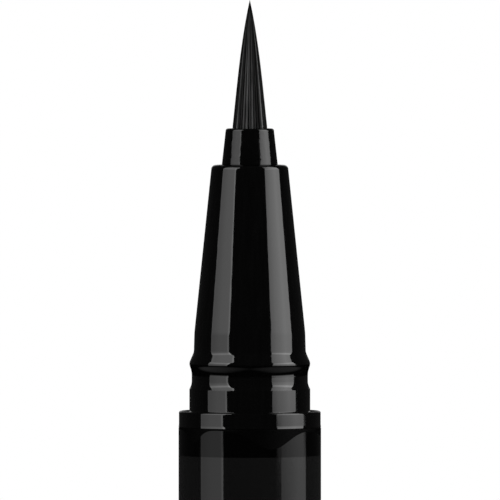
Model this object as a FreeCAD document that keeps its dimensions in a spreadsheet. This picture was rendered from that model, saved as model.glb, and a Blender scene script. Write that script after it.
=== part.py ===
import FreeCAD, Part
import os
import re
import Sketcher

# Liquid eyeliner pen with a brush point, standing on its tail, with its cap standing beside it.
# +Z runs along the pen to the point, and the origin is the centre of the tail's flat face.

# Driving dimensions in millimetres, apart from the counts and the two swell figures of the tuft.
SIZES = {
    # Fits that several pieces share: the gap around pressed pieces, and the gap at a stop
    "fit_clearance": 0.02,
    "seat_clearance": 0.02,
    "lead_in": 0.3,

    # Barrel, which is also the ink chamber
    "barrel_diameter": 10.0,
    "barrel_wall": 0.9,
    "barrel_length": 100.1,
    "barrel_edge": 0.1,

    # Snap rib on the nose spigot and on the tail plug, with its groove in the barrel
    "snap_height": 0.12,
    "snap_width": 0.6,
    "snap_play": 0.05,
    "snap_setback": 2.4,

    # Tail plug and the ball that rests in its dish
    "tail_head_height": 3.0,
    "tail_head_edge": 0.4,
    "plug_length": 6.0,
    "dish_diameter": 6.0,
    "dish_depth": 0.8,
    "ball_diameter": 4.0,

    # Nose section, from its flange forward
    "flange_height": 1.1,
    "flange_edge": 0.08,
    "land_step": 0.76,
    "land_height": 1.54,
    "land_chamfer": 0.28,
    "groove_depth": 0.165,
    "groove_round": 0.6,
    "groove_height": 0.88,
    "bead_height": 0.193,
    "bead_rise": 0.64,
    "bead_fall": 0.79,
    "bead_round": 0.45,
    "bead_foot": 0.7,
    "neck_step": 0.31,
    "neck_draft": 0.04,
    "neck_height": 1.38,
    "cone_height": 11.76,
    "cone_front_diameter": 5.35,
    "cone_edge": 0.3,

    # Inside of the nose section
    "spigot_length": 16.0,
    "spigot_wall": 0.75,
    "cone_wall": 0.6,
    "front_wall": 3.0,

    # Brush holder
    "holder_wall": 0.35,
    "collar_overhang": 0.215,
    "collar_taper": 0.285,
    "collar_height": 2.56,
    "collar_edge": 0.16,
    "shank_length": 5.5,
    "lip_height": 0.12,
    "lip_length": 0.6,
    "vent_width": 0.5,
    "vent_depth": 0.2,
    "vent_count": 4,

    # Brush tuft
    "tuft_diameter": 2.5,
    "tuft_length": 9.05,
    "lower_swell": 0.2,
    "upper_swell": 0.42,
    "point_length": 1.2,
    "root_flange": 0.13,
    "root_height": 1.2,
    "seat_depth": 3.8,
    "root_setback": 0.3,
    "feed_socket": 0.9,
    "filament_diameter": 0.21,
    "filament_margin": 0.03,
    "filament_sink": 0.1,
    "filament_rings": 4,

    # Feed rod
    "feed_diameter": 1.2,
    "feed_tail": 4.0,
    "feed_chamfer": 0.2,

    # Collector and its seal
    "core_diameter": 3.2,
    "fin_count": 16,
    "fin_pitch": 1.0,
    "fin_thickness": 0.45,
    "fin_start": 1.0,
    "fin_clearance": 0.1,
    "slit_width": 0.25,
    "notch_width": 1.2,
    "seal_flange_height": 2.4,
    "seal_section": 0.8,
    "seal_clearance": 0.01,
    "seal_groove_height": 1.1,

    # Cap and its liner
    "cap_length": 36.0,
    "cap_end_wall": 1.4,
    "cap_edge": 0.8,
    "cap_clearance": 0.06,
    "cap_snap_width": 0.4,
    "liner_lip": 11.0,
    "liner_wall": 0.5,
    "liner_end": 1.0,
    "liner_edge": 0.5,
    "rib_width": 0.8,
    "rib_setback": 1.0,
    "rib_count": 6,
    "cap_stand_off": 20.0,
}

# Radii
BARREL_R = "(barrel_diameter / 2)"
BORE_R = f"({BARREL_R} - barrel_wall)"
SPIGOT_R = f"({BORE_R} - fit_clearance)"
SECTION_BORE_R = f"({SPIGOT_R} - spigot_wall)"
LAND_R = f"({BARREL_R} - land_step)"
GROOVE_R = f"({LAND_R} - groove_depth)"
BEAD_R = f"({GROOVE_R} + bead_height)"
NECK_R = f"({LAND_R} - neck_step)"
CONE_BASE_R = f"({NECK_R} - neck_draft)"
CONE_FRONT_R = "(cone_front_diameter / 2)"
CONE_SLOPE = f"(({CONE_BASE_R} - {CONE_FRONT_R}) / cone_height)"
TUFT_R = "(tuft_diameter / 2)"
TUFT_BORE_R = f"({TUFT_R} + fit_clearance)"
ROOT_R = f"({TUFT_R} + root_flange)"
ROOT_BORE_R = f"({ROOT_R} + fit_clearance)"
SHANK_R = f"({ROOT_BORE_R} + holder_wall)"
FRONT_BORE_R = f"({SHANK_R} + fit_clearance)"
COLLAR_BASE_R = f"({SHANK_R} + collar_overhang)"
COLLAR_TOP_R = f"({COLLAR_BASE_R} - collar_taper)"
FEED_R = "(feed_diameter / 2)"
FEED_BORE_R = f"({FEED_R} + fit_clearance)"
CORE_R = "(core_diameter / 2)"
FIN_R = f"({SECTION_BORE_R} - fin_clearance)"
SEAL_SEAT_R = f"({BORE_R} - seal_section - 2 * seal_clearance)"
CAP_BORE_R = f"({LAND_R} + cap_clearance)"
CAP_SNAP_R = f"({GROOVE_R} + cap_clearance)"

# Heights above the tail face
MOUTH = "(tail_head_height + barrel_length)"
FLANGE_TOP = f"({MOUTH} + flange_height)"
LAND_TOP = f"({FLANGE_TOP} + land_height)"
GROOVE_LOW = f"({LAND_TOP} + land_chamfer)"
GROOVE_TOP = f"({GROOVE_LOW} + groove_height)"
BEAD_CREST = f"({GROOVE_TOP} + bead_rise)"
BEAD_TOP = f"({BEAD_CREST} + bead_fall)"
NECK_TOP = f"({BEAD_TOP} + neck_height)"
CONE_TOP = f"({NECK_TOP} + cone_height)"
COLLAR_TOP = f"({CONE_TOP} + collar_height)"
POINT_LOW = f"({COLLAR_TOP} + tuft_length - point_length)"
FRONT_WALL_LOW = f"({CONE_TOP} - front_wall)"
SPIGOT_END = f"({MOUTH} - spigot_length)"
SHANK_END = f"({CONE_TOP} - shank_length)"
LIP_TOP = f"({FRONT_WALL_LOW} - seat_clearance)"
ROOT_SEAT = f"({COLLAR_TOP} - seat_depth)"
ROOT_LOW = f"({ROOT_SEAT} - root_height)"
SOCKET_TOP = f"({ROOT_LOW} + feed_socket)"
ROOT_END = f"({COLLAR_TOP} - root_setback)"
FLANGE_END = f"({SPIGOT_END} - seal_flange_height)"
SEAL_MIDDLE = f"({SPIGOT_END} - seal_flange_height / 2)"
FIN_LOW = f"({SPIGOT_END} + fin_start)"
FINS_HEIGHT = "((fin_count - 1) * fin_pitch + fin_thickness)"
CORE_TOP = f"({FIN_LOW} + {FINS_HEIGHT})"
SNOUT_TOP = f"({ROOT_LOW} - seat_clearance)"
FEED_LOW = f"({FLANGE_END} - feed_tail)"
FEED_TOP = f"({SOCKET_TOP} - seat_clearance)"
PLUG_TOP = "(tail_head_height + plug_length)"
NOSE_SNAP_TOP = f"({MOUTH} - snap_setback)"
TAIL_SNAP_TOP = "(tail_head_height + snap_setback + snap_width)"

# Heights above the mouth of the cap
CAP_ROOF = "(cap_length - cap_end_wall)"
CAP_SNAP_MIDDLE = "(land_height + land_chamfer + groove_height / 2)"
LINER_TOP = f"({CAP_ROOF} - seat_clearance)"
LINER_BORE_R = f"({CONE_BASE_R} - (liner_lip - ({NECK_TOP} - {FLANGE_TOP})) * {CONE_SLOPE} + cap_clearance)"
LINER_R = f"({LINER_BORE_R} + liner_wall)"

SAME_EDGE = 1e-5
LOFT_STEPS = 5

doc = FreeCAD.newDocument("liquid_eyeliner_pen")
sheet = doc.addObject("Spreadsheet::Sheet", "Dimensions")


def fill_sheet():
    """Write every driving dimension to the sheet under its name."""
    for row, (name, size) in enumerate(SIZES.items(), start=1):
        sheet.set(f"A{row}", name.replace("_", " "))
        sheet.set(f"B{row}", str(size))
        sheet.setAlias(f"B{row}", name)
    doc.recompute()


def formula(text):
    """The text with the name of each size pointed at its cell."""
    return re.sub(r"[a-z]\w+", lambda word: f"Dimensions.{word[0]}" if word[0] in SIZES else word[0], text)


def number(text):
    """What a formula comes to now."""
    return float(sheet.evalExpression(formula(text)))


def bind(item, setting, text):
    """Tie a setting of an object to a formula on the sheet."""
    item.setExpression(setting, formula(text))


def new_body(name):
    """A body whose label is the name of its file."""
    body = doc.addObject("PartDesign::Body", name)
    body.Label = name
    return body


def origin(body, role):
    """The plane or axis of a body's own origin that has this role."""
    return next(item for item in body.Origin.OriginFeatures if item.Role == role)


def sketch_on(body, name, plane, height="0"):
    """An empty sketch on a plane of the body's origin, lifted along the plane's normal."""
    sketch = body.newObject("Sketcher::SketchObject", name)
    sketch.AttachmentSupport = (origin(body, plane), [""])
    sketch.MapMode = "FlatFace"
    bind(sketch, "AttachmentOffset.Base.z", height)
    return sketch


def pin(sketch, line, across, up):
    """Hold the start of a line at two formulas, measured from the sketch's origin."""
    for kind, axis, text in (("DistanceX", -2, across), ("DistanceY", -1, up)):
        if text == "0":
            sketch.addConstraint(Sketcher.Constraint("PointOnObject", line, 1, axis))
            continue
        index = sketch.addConstraint(Sketcher.Constraint(kind, -1, 1, line, 1, number(text)))
        bind(sketch, f"Constraints[{index}]", text)


def outline(sketch, corners):
    """A closed run of straight lines through corners that are pairs of formulas."""
    places = [FreeCAD.Vector(number(across), number(up), 0) for across, up in corners]
    first = sketch.GeometryCount
    for index, place in enumerate(places):
        sketch.addGeometry(Part.LineSegment(place, places[(index + 1) % len(places)]), False)
    for index, (across, up) in enumerate(corners):
        following = first + (index + 1) % len(places)
        sketch.addConstraint(Sketcher.Constraint("Coincident", first + index, 2, following, 1))
        pin(sketch, first + index, across, up)


def circle(sketch, across, radius):
    """A circle whose centre lies on the sketch's horizontal axis."""
    centre = FreeCAD.Vector(number(across), 0, 0)
    index = sketch.addGeometry(Part.Circle(centre, FreeCAD.Vector(0, 0, 1), number(radius)), False)
    if across == "0":
        sketch.addConstraint(Sketcher.Constraint("Coincident", index, 3, -1, 1))
    else:
        sketch.addConstraint(Sketcher.Constraint("PointOnObject", index, 3, -1))
        held = sketch.addConstraint(Sketcher.Constraint("DistanceX", -1, 1, index, 3, number(across)))
        bind(sketch, f"Constraints[{held}]", across)
    sized = sketch.addConstraint(Sketcher.Constraint("Radius", index, number(radius)))
    bind(sketch, f"Constraints[{sized}]", radius)


def turned(body, name, corners):
    """A turned form: corners of radius and height, taken once round the pen's axis."""
    sketch = sketch_on(body, f"{name}_outline", "XZ_Plane")
    outline(sketch, corners)
    feature = body.newObject("PartDesign::Revolution", name)
    feature.Profile = sketch
    feature.ReferenceAxis = (sketch, ["V_Axis"])
    feature.Angle = 360
    body.Tip = feature
    doc.recompute()
    return feature


def rim(feature, radius, height):
    """The name of the round edge that has this radius at this height."""
    for index, edge in enumerate(feature.Shape.Edges, start=1):
        curve = edge.Curve
        if not isinstance(curve, Part.Circle):
            continue
        if abs(curve.Radius - number(radius)) < SAME_EDGE and abs(curve.Center.z - number(height)) < SAME_EDGE:
            return f"Edge{index}"
    raise ValueError(f"{feature.Label} has no edge of radius {number(radius)} at height {number(height)}")


def eased(body, name, rims, size, kind="Fillet"):
    """Round or chamfer the given rims of the body so far."""
    base = body.Tip
    feature = body.newObject(f"PartDesign::{kind}", name)
    feature.Base = (base, [rim(base, radius, height) for radius, height in rims])
    bind(feature, "Radius" if kind == "Fillet" else "Size", size)
    body.Tip = feature
    doc.recompute()
    return feature


def padded(body, name, sketch, length):
    """Material added from a sketch along its normal."""
    feature = body.newObject("PartDesign::Pad", name)
    feature.Profile = sketch
    bind(feature, "Length", length)
    body.Tip = feature
    doc.recompute()
    return feature


def pocketed(body, name, sketch, length):
    """Material cut away upward from a sketch; it stops the build if nothing was cut."""
    before = body.Shape.Volume
    feature = body.newObject("PartDesign::Pocket", name)
    feature.Profile = sketch
    feature.Reversed = True
    bind(feature, "Length", length)
    body.Tip = feature
    doc.recompute()
    if body.Shape.Volume >= before:
        raise ValueError(f"{name} cut nothing from {body.Label}")
    return feature


def ringed(body, name, feature, count):
    """Copies of a feature spaced evenly round the pen's axis."""
    pattern = body.newObject("PartDesign::PolarPattern", name)
    pattern.Originals = [feature]
    pattern.Axis = (origin(body, "Z_Axis"), [""])
    pattern.Angle = 360
    bind(pattern, "Occurrences", count)
    body.Tip = pattern
    doc.recompute()
    return pattern


def snap_rib(radius, top):
    """Corners of a snap rib, from its low edge up, on a spigot of this radius."""
    low = f"({top} - snap_width)"
    crest = f"({radius} + snap_height)"
    return [
        (radius, low),
        (crest, f"({low} + snap_height)"),
        (crest, f"({top} - snap_height)"),
        (radius, top),
    ]


def snap_groove(top):
    """Corners of the barrel groove for a snap rib, from its top edge down."""
    high = f"({top} + snap_play)"
    low = f"({top} - snap_width - snap_play)"
    depth = f"({BORE_R} + snap_height)"
    return [(BORE_R, high), (depth, f"({high} - snap_height)"), (depth, f"({low} + snap_height)"), (BORE_R, low)]


def make_barrel():
    """Straight tube with a snap groove and a lead-in at each end."""
    body = new_body("barrel")
    turned(body, "barrel_tube", [
        (BARREL_R, "tail_head_height"),
        (BARREL_R, MOUTH),
        (f"({BORE_R} + lead_in)", MOUTH),
        (BORE_R, f"({MOUTH} - lead_in)"),
        *snap_groove(NOSE_SNAP_TOP),
        *snap_groove(TAIL_SNAP_TOP),
        (BORE_R, "(tail_head_height + lead_in)"),
        (f"({BORE_R} + lead_in)", "tail_head_height"),
    ])
    eased(body, "barrel_edges", [(BARREL_R, MOUTH), (BARREL_R, "tail_head_height")], "barrel_edge")
    return body


def make_tail_plug():
    """Solid plug: a head as wide as the barrel and a spigot with a snap rib and a dished end."""
    body = new_body("tail_plug")
    turned(body, "plug_form", [
        ("0", "0"),
        (BARREL_R, "0"),
        (BARREL_R, "tail_head_height"),
        (SPIGOT_R, "tail_head_height"),
        *snap_rib(SPIGOT_R, TAIL_SNAP_TOP),
        (SPIGOT_R, f"({PLUG_TOP} - lead_in)"),
        (f"({SPIGOT_R} - lead_in)", PLUG_TOP),
        ("(dish_diameter / 2)", PLUG_TOP),
        ("0", f"({PLUG_TOP} - dish_depth)"),
    ])
    eased(body, "head_round", [(BARREL_R, "0")], "tail_head_edge")
    eased(body, "head_edge", [(BARREL_R, "tail_head_height")], "barrel_edge")
    return body


def make_mixing_ball():
    """Loose steel ball, resting in the dish of the tail plug."""
    ball = doc.addObject("Part::Sphere", "mixing_ball")
    ball.Label = "mixing_ball"
    bind(ball, "Radius", "ball_diameter / 2")
    flank = "sqrt((dish_diameter / 2)^2 + dish_depth^2) / (dish_diameter / 2)"
    rest = f"{PLUG_TOP} - dish_depth + ball_diameter / 2 * {flank} + seat_clearance"
    bind(ball, "Placement.Base.z", rest)
    return ball


def make_nose_section():
    """Cone, neck, snap bead, groove, land and flange in front; a long spigot behind that houses the collector."""
    body = new_body("nose_section")
    turned(body, "section_form", [
        (SECTION_BORE_R, SPIGOT_END),
        (f"({SPIGOT_R} - lead_in)", SPIGOT_END),
        (SPIGOT_R, f"({SPIGOT_END} + lead_in)"),
        *snap_rib(SPIGOT_R, NOSE_SNAP_TOP),
        (SPIGOT_R, MOUTH),
        (BARREL_R, MOUTH),
        (BARREL_R, FLANGE_TOP),
        (LAND_R, FLANGE_TOP),
        (LAND_R, LAND_TOP),
        (GROOVE_R, GROOVE_LOW),
        (GROOVE_R, GROOVE_TOP),
        (BEAD_R, BEAD_CREST),
        (NECK_R, BEAD_TOP),
        (CONE_BASE_R, NECK_TOP),
        (CONE_FRONT_R, CONE_TOP),
        (FRONT_BORE_R, CONE_TOP),
        (FRONT_BORE_R, FRONT_WALL_LOW),
        (f"({CONE_FRONT_R} + front_wall * {CONE_SLOPE} - cone_wall)", FRONT_WALL_LOW),
        (f"({CONE_BASE_R} - cone_wall)", NECK_TOP),
        (SECTION_BORE_R, NECK_TOP),
    ])
    eased(body, "bead_crest", [(BEAD_R, BEAD_CREST)], "bead_round")
    eased(body, "bead_feet", [(GROOVE_R, GROOVE_TOP), (NECK_R, BEAD_TOP)], "bead_foot")
    eased(body, "groove_ramp", [(GROOVE_R, GROOVE_LOW)], "groove_round")
    eased(body, "flange_edges", [(BARREL_R, MOUTH), (BARREL_R, FLANGE_TOP)], "flange_edge")
    eased(body, "cone_shoulder", [(CONE_FRONT_R, CONE_TOP)], "cone_edge")
    return body


def make_brush_holder():
    """Tapered collar on a shank that snaps through the nose's front wall, with air vents along the shank."""
    body = new_body("brush_holder")
    turned(body, "holder_form", [
        (ROOT_BORE_R, SHANK_END),
        (SHANK_R, SHANK_END),
        (SHANK_R, f"({LIP_TOP} - lip_length)"),
        (f"({SHANK_R} + lip_height)", LIP_TOP),
        (SHANK_R, LIP_TOP),
        (SHANK_R, CONE_TOP),
        (COLLAR_BASE_R, CONE_TOP),
        (COLLAR_TOP_R, COLLAR_TOP),
        (TUFT_BORE_R, COLLAR_TOP),
        (TUFT_BORE_R, ROOT_SEAT),
        (ROOT_BORE_R, ROOT_SEAT),
    ])
    eased(body, "collar_round", [(COLLAR_TOP_R, COLLAR_TOP)], "collar_edge")
    vent = sketch_on(body, "vent_outline", "XY_Plane", SHANK_END)
    outline(vent, [
        (f"({SHANK_R} - vent_depth)", "(-vent_width / 2)"),
        (f"({SHANK_R} + 2 * lip_height)", "(-vent_width / 2)"),
        (f"({SHANK_R} + 2 * lip_height)", "(vent_width / 2)"),
        (f"({SHANK_R} - vent_depth)", "(vent_width / 2)"),
    ])
    slot = pocketed(body, "vent", vent, "shank_length")
    ringed(body, "vents", slot, "vent_count")
    return body


def tuft_share(height):
    """How wide the tuft is at a height above the collar, as a share of its width there."""
    along = f"({height} / tuft_length)"
    return f"((1 - {along}) * (1 + lower_swell * {along} + upper_swell * {along}^2))"


def make_brush_tuft():
    """Filaments in rings, fused in one root behind, that swell a little and close to one point in front."""
    body = new_body("brush_tuft")
    turned(body, "tuft_root", [
        (FEED_BORE_R, ROOT_LOW),
        (ROOT_R, ROOT_LOW),
        (ROOT_R, ROOT_SEAT),
        (TUFT_R, ROOT_SEAT),
        (TUFT_R, ROOT_END),
        ("0", ROOT_END),
        ("0", SOCKET_TOP),
        (FEED_BORE_R, SOCKET_TOP),
    ])
    rings = int(number("filament_rings"))
    spacing = f"(({TUFT_R} - filament_margin - filament_diameter / 2) / filament_rings)"
    free = "(tuft_length - point_length + filament_sink)"
    heights = [f"({free} * {step} / {LOFT_STEPS - 1})" for step in range(1, LOFT_STEPS)]
    stations = [(f"({ROOT_END} - filament_sink)", "1"), (COLLAR_TOP, "1")]
    stations += [(f"({COLLAR_TOP} + {height})", tuft_share(height)) for height in heights]
    for ring in range(rings + 1):
        sections = []
        for station, (level, share) in enumerate(stations):
            sketch = sketch_on(body, f"filament_{ring}_{station}", "XY_Plane", level)
            across = f"({spacing} * {ring} * {share})" if ring else "0"
            circle(sketch, across, f"(filament_diameter / 2 * {share})")
            sections.append(sketch)
        strand = body.newObject("PartDesign::AdditiveLoft", f"filament_{ring}")
        strand.Profile = sections[0]
        strand.Sections = sections[1:]
        strand.Ruled = True
        strand.Refine = False
        body.Tip = strand
        doc.recompute()
        if ring:
            ringed(body, f"filament_ring_{ring}", strand, f"6 * {ring}")
    lengths = ["(point_length)", "(point_length * 2 / 3)", "(point_length / 3)"]
    flanks = [(f"({TUFT_R} * {tuft_share(f'(tuft_length - {left})')})", f"({COLLAR_TOP} + tuft_length - {left})")
              for left in lengths]
    turned(body, "tuft_point", [("0", POINT_LOW), *flanks, ("0", f"({COLLAR_TOP} + tuft_length)")])
    return body


def make_feed_rod():
    """Fibre rod from the ink chamber, through the collector, into the root of the tuft."""
    body = new_body("feed_rod")
    sketch = sketch_on(body, "rod_outline", "XY_Plane", FEED_LOW)
    circle(sketch, "0", FEED_R)
    padded(body, "rod", sketch, f"{FEED_TOP} - {FEED_LOW}")
    eased(body, "rod_ends", [(FEED_R, FEED_LOW), (FEED_R, FEED_TOP)], "feed_chamfer", "Chamfer")
    return body


def make_collector():
    """Finned comb: a core with a snout in front, a sealing flange behind, an ink slit and an air notch."""
    body = new_body("collector")
    seal_low = f"({SEAL_MIDDLE} - seal_groove_height / 2)"
    seal_high = f"({SEAL_MIDDLE} + seal_groove_height / 2)"
    turned(body, "collector_core", [
        (FEED_BORE_R, FLANGE_END),
        (SPIGOT_R, FLANGE_END),
        (SPIGOT_R, seal_low),
        (SEAL_SEAT_R, seal_low),
        (SEAL_SEAT_R, seal_high),
        (SPIGOT_R, seal_high),
        (SPIGOT_R, SPIGOT_END),
        (CORE_R, SPIGOT_END),
        (CORE_R, CORE_TOP),
        (ROOT_R, CORE_TOP),
        (ROOT_R, SNOUT_TOP),
        (FEED_BORE_R, SNOUT_TOP),
    ])
    ring = sketch_on(body, "fin_outline", "XY_Plane", FIN_LOW)
    circle(ring, "0", FIN_R)
    circle(ring, "0", f"(({CORE_R} + {FEED_BORE_R}) / 2)")
    fin = padded(body, "fin", ring, "fin_thickness")
    fins = body.newObject("PartDesign::LinearPattern", "fins")
    fins.Originals = [fin]
    fins.Direction = (origin(body, "Z_Axis"), [""])
    bind(fins, "Length", "(fin_count - 1) * fin_pitch")
    bind(fins, "Occurrences", "fin_count")
    body.Tip = fins
    doc.recompute()
    slit = sketch_on(body, "slit_outline", "XY_Plane", SPIGOT_END)
    outline(slit, [
        ("0", "(-slit_width / 2)"),
        (f"(-{FIN_R} - fin_clearance)", "(-slit_width / 2)"),
        (f"(-{FIN_R} - fin_clearance)", "(slit_width / 2)"),
        ("0", "(slit_width / 2)"),
    ])
    pocketed(body, "ink_slit", slit, f"{CORE_TOP} - {SPIGOT_END}")
    notch = sketch_on(body, "notch_outline", "XY_Plane", SPIGOT_END)
    outline(notch, [
        (CORE_R, "(-notch_width / 2)"),
        (f"({FIN_R} + fin_clearance)", "(-notch_width / 2)"),
        (f"({FIN_R} + fin_clearance)", "(notch_width / 2)"),
        (CORE_R, "(notch_width / 2)"),
    ])
    pocketed(body, "air_notch", notch, f"{CORE_TOP} - {SPIGOT_END}")
    return body


def make_collector_seal():
    """Round-section ring in the groove of the collector's flange."""
    ring = doc.addObject("Part::Torus", "collector_seal")
    ring.Label = "collector_seal"
    bind(ring, "Radius1", f"{BORE_R} - seal_clearance - seal_section / 2")
    bind(ring, "Radius2", "seal_section / 2")
    bind(ring, "Placement.Base.z", SEAL_MIDDLE)
    return ring


def make_cap_shell():
    """Straight cup with a lead-in and a snap rib inside its mouth, which rides over the bead into the groove."""
    body = new_body("cap_shell")
    rise = f"({CAP_BORE_R} - {CAP_SNAP_R})"
    snap_low = f"({CAP_SNAP_MIDDLE} - cap_snap_width / 2)"
    snap_high = f"({CAP_SNAP_MIDDLE} + cap_snap_width / 2)"
    turned(body, "cap_form", [
        (f"({CAP_BORE_R} + lead_in / 2)", "0"),
        (BARREL_R, "0"),
        (BARREL_R, "cap_length"),
        ("0", "cap_length"),
        ("0", CAP_ROOF),
        (CAP_BORE_R, CAP_ROOF),
        (CAP_BORE_R, f"({snap_high} + {rise})"),
        (CAP_SNAP_R, snap_high),
        (CAP_SNAP_R, snap_low),
        (CAP_BORE_R, f"({snap_low} - {rise})"),
        (CAP_BORE_R, "(lead_in / 2)"),
    ])
    eased(body, "cap_top_round", [(BARREL_R, "cap_length")], "cap_edge")
    eased(body, "cap_mouth_edge", [(BARREL_R, "0")], "barrel_edge")
    bind(body, "Placement.Base.x", "cap_stand_off")
    return body


def make_inner_cap():
    """Closed liner that ends on the cone, centred in the cap by ribs along its outside."""
    body = new_body("inner_cap")
    turned(body, "liner_form", [
        (LINER_BORE_R, "liner_lip"),
        (LINER_R, "liner_lip"),
        (LINER_R, LINER_TOP),
        ("0", LINER_TOP),
        ("0", f"({LINER_TOP} - liner_end)"),
        (LINER_BORE_R, f"({LINER_TOP} - liner_end)"),
    ])
    eased(body, "liner_top_round", [(LINER_R, LINER_TOP)], "liner_edge")
    rib = sketch_on(body, "rib_outline", "XY_Plane", "(liner_lip + rib_setback)")
    reach = f"sqrt(({CAP_BORE_R} - fit_clearance)^2 - (rib_width / 2)^2)"
    foot = f"(({LINER_BORE_R} + {LINER_R}) / 2)"
    outline(rib, [
        (foot, "(-rib_width / 2)"),
        (reach, "(-rib_width / 2)"),
        (reach, "(rib_width / 2)"),
        (foot, "(rib_width / 2)"),
    ])
    bar = padded(body, "rib", rib, f"{LINER_TOP} - liner_lip - 2 * rib_setback")
    ringed(body, "ribs", bar, "rib_count")
    bind(body, "Placement.Base.x", "cap_stand_off")
    return body


def export(pieces):
    """Check every object of the document and every piece, then write each piece to its own file."""
    doc.recompute()
    for item in doc.Objects:
        if "Invalid" in item.State or "Error" in item.State:
            raise ValueError(f"{item.Label} failed: {item.State}")
    for piece in pieces:
        if piece.Shape.isNull() or not piece.Shape.isValid():
            raise ValueError(f"{piece.Label} has no valid shape")
        if len(piece.Shape.Solids) != 1:
            raise ValueError(f"{piece.Label} has {len(piece.Shape.Solids)} solids")
    os.makedirs("parts", exist_ok=True)
    for piece in pieces:
        piece.Shape.exportStep(os.path.join("parts", f"{piece.Label}.step"))


def main():
    fill_sheet()
    pieces = [
        make_barrel(),
        make_tail_plug(),
        make_mixing_ball(),
        make_nose_section(),
        make_brush_holder(),
        make_brush_tuft(),
        make_feed_rod(),
        make_collector(),
        make_collector_seal(),
        make_cap_shell(),
        make_inner_cap(),
    ]
    export(pieces)


main()
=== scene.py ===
import math
import random

import bmesh
import bpy
from bpy.props import FloatProperty, FloatVectorProperty, IntProperty, PointerProperty
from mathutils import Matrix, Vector


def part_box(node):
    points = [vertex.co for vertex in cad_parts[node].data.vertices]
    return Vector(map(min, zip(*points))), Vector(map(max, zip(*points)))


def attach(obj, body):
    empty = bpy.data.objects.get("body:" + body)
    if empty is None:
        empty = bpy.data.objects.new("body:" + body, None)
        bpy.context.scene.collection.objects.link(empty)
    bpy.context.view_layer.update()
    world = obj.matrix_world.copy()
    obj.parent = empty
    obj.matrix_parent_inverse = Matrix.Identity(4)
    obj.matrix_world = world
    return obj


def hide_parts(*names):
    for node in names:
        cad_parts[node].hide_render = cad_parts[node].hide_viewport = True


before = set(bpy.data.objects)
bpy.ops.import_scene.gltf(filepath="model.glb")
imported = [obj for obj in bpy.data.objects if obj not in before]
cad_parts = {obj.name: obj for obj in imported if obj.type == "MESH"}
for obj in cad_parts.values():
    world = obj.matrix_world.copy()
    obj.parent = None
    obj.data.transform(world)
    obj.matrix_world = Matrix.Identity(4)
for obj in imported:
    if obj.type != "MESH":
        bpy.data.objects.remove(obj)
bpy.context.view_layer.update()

bl_info = {
    "name": "Liquid Eyeliner Pen",
    "version": (1, 0, 0),
    "blender": (4, 5, 0),
    "location": "View3D > Sidebar > Eyeliner",
    "description": "Dresses a brush-point eyeliner pen and its cap, and sets the studio around them",
    "category": "Object",
}

MM = 0.001
TAU = 2 * math.pi

# Turned pieces have this many sides, and a rounding turns by this much at most at each step
SIDES = 192
ARC_STEP = math.radians(9)

# A point before a rounding and one after it keep the shading of long straight faces true. They stand this
# many times as far from the corner as the ends of the rounding
BESIDE_ARC = 1.15

# Faces of a turned piece that meet at more than this angle have a sharp edge between them
SHARP_EDGE = math.radians(28)

# Points closer than this are one point
SAME_PLACE = 1e-7

# Radius of the cap, in millimetres
CAP_RADIUS = 5.0

# Most of a noise lies between these values
NOISE_RANGE = {"From Min": 0.3, "From Max": 0.7}

# Sockets of a node that mixes colours: the two that go in, and the mixed one
FIRST_COLOUR = 6
SECOND_COLOUR = 7
MIXED_COLOUR = 2


def linear(code):
    """An sRGB hex colour as linear red, green, blue and alpha."""
    channels = [int(code[place:place + 2], 16) / 255 for place in (1, 3, 5)]
    return tuple(c / 12.92 if c <= 0.04045 else ((c + 0.055) / 1.055) ** 2.4 for c in channels) + (1.0,)


def colour(label, purpose, code):
    """A colour setting that starts from an sRGB hex value."""
    return FloatVectorProperty(name=label, description=purpose, subtype="COLOR", size=4, min=0, max=1,
                               default=linear(code))


def length(label, purpose, millimetres):
    """A length setting that is given in millimetres and kept in metres."""
    return FloatProperty(name=label, description=purpose, unit="LENGTH", precision=5,
                         default=millimetres * MM)


def angle(label, purpose, degrees):
    """An angle setting that is given in degrees and kept in radians."""
    return FloatProperty(name=label, description=purpose, subtype="ANGLE", default=math.radians(degrees))


def amount(label, purpose, value):
    """A plain number."""
    return FloatProperty(name=label, description=purpose, default=value)


def top_of(node):
    """Height of the top of a solid, in millimetres."""
    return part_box(node)[1].z / MM


def foot_of(node):
    """Height of the foot of a solid, in millimetres."""
    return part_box(node)[0].z / MM


class BarrelSizes(bpy.types.PropertyGroup):
    """Sizes of the barrel."""
    radius: length("Radius", "Outside of the barrel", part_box("barrel")[1].x / MM)
    bore: length("Bore", "Radius of the ink chamber", 4.1)
    foot: length("Foot", "Where the barrel starts, above the tail's face", foot_of("barrel"))
    mouth: length("Mouth", "Where the barrel ends, above the tail's face", top_of("barrel"))
    edge: length("Edge", "Rounding of the outer edges", 0.1)
    lead_in: length("Lead-in", "Chamfer inside both ends", 0.3)
    black_band: length("Black band", "Height of the turned band at the mouth", 2.0)


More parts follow.
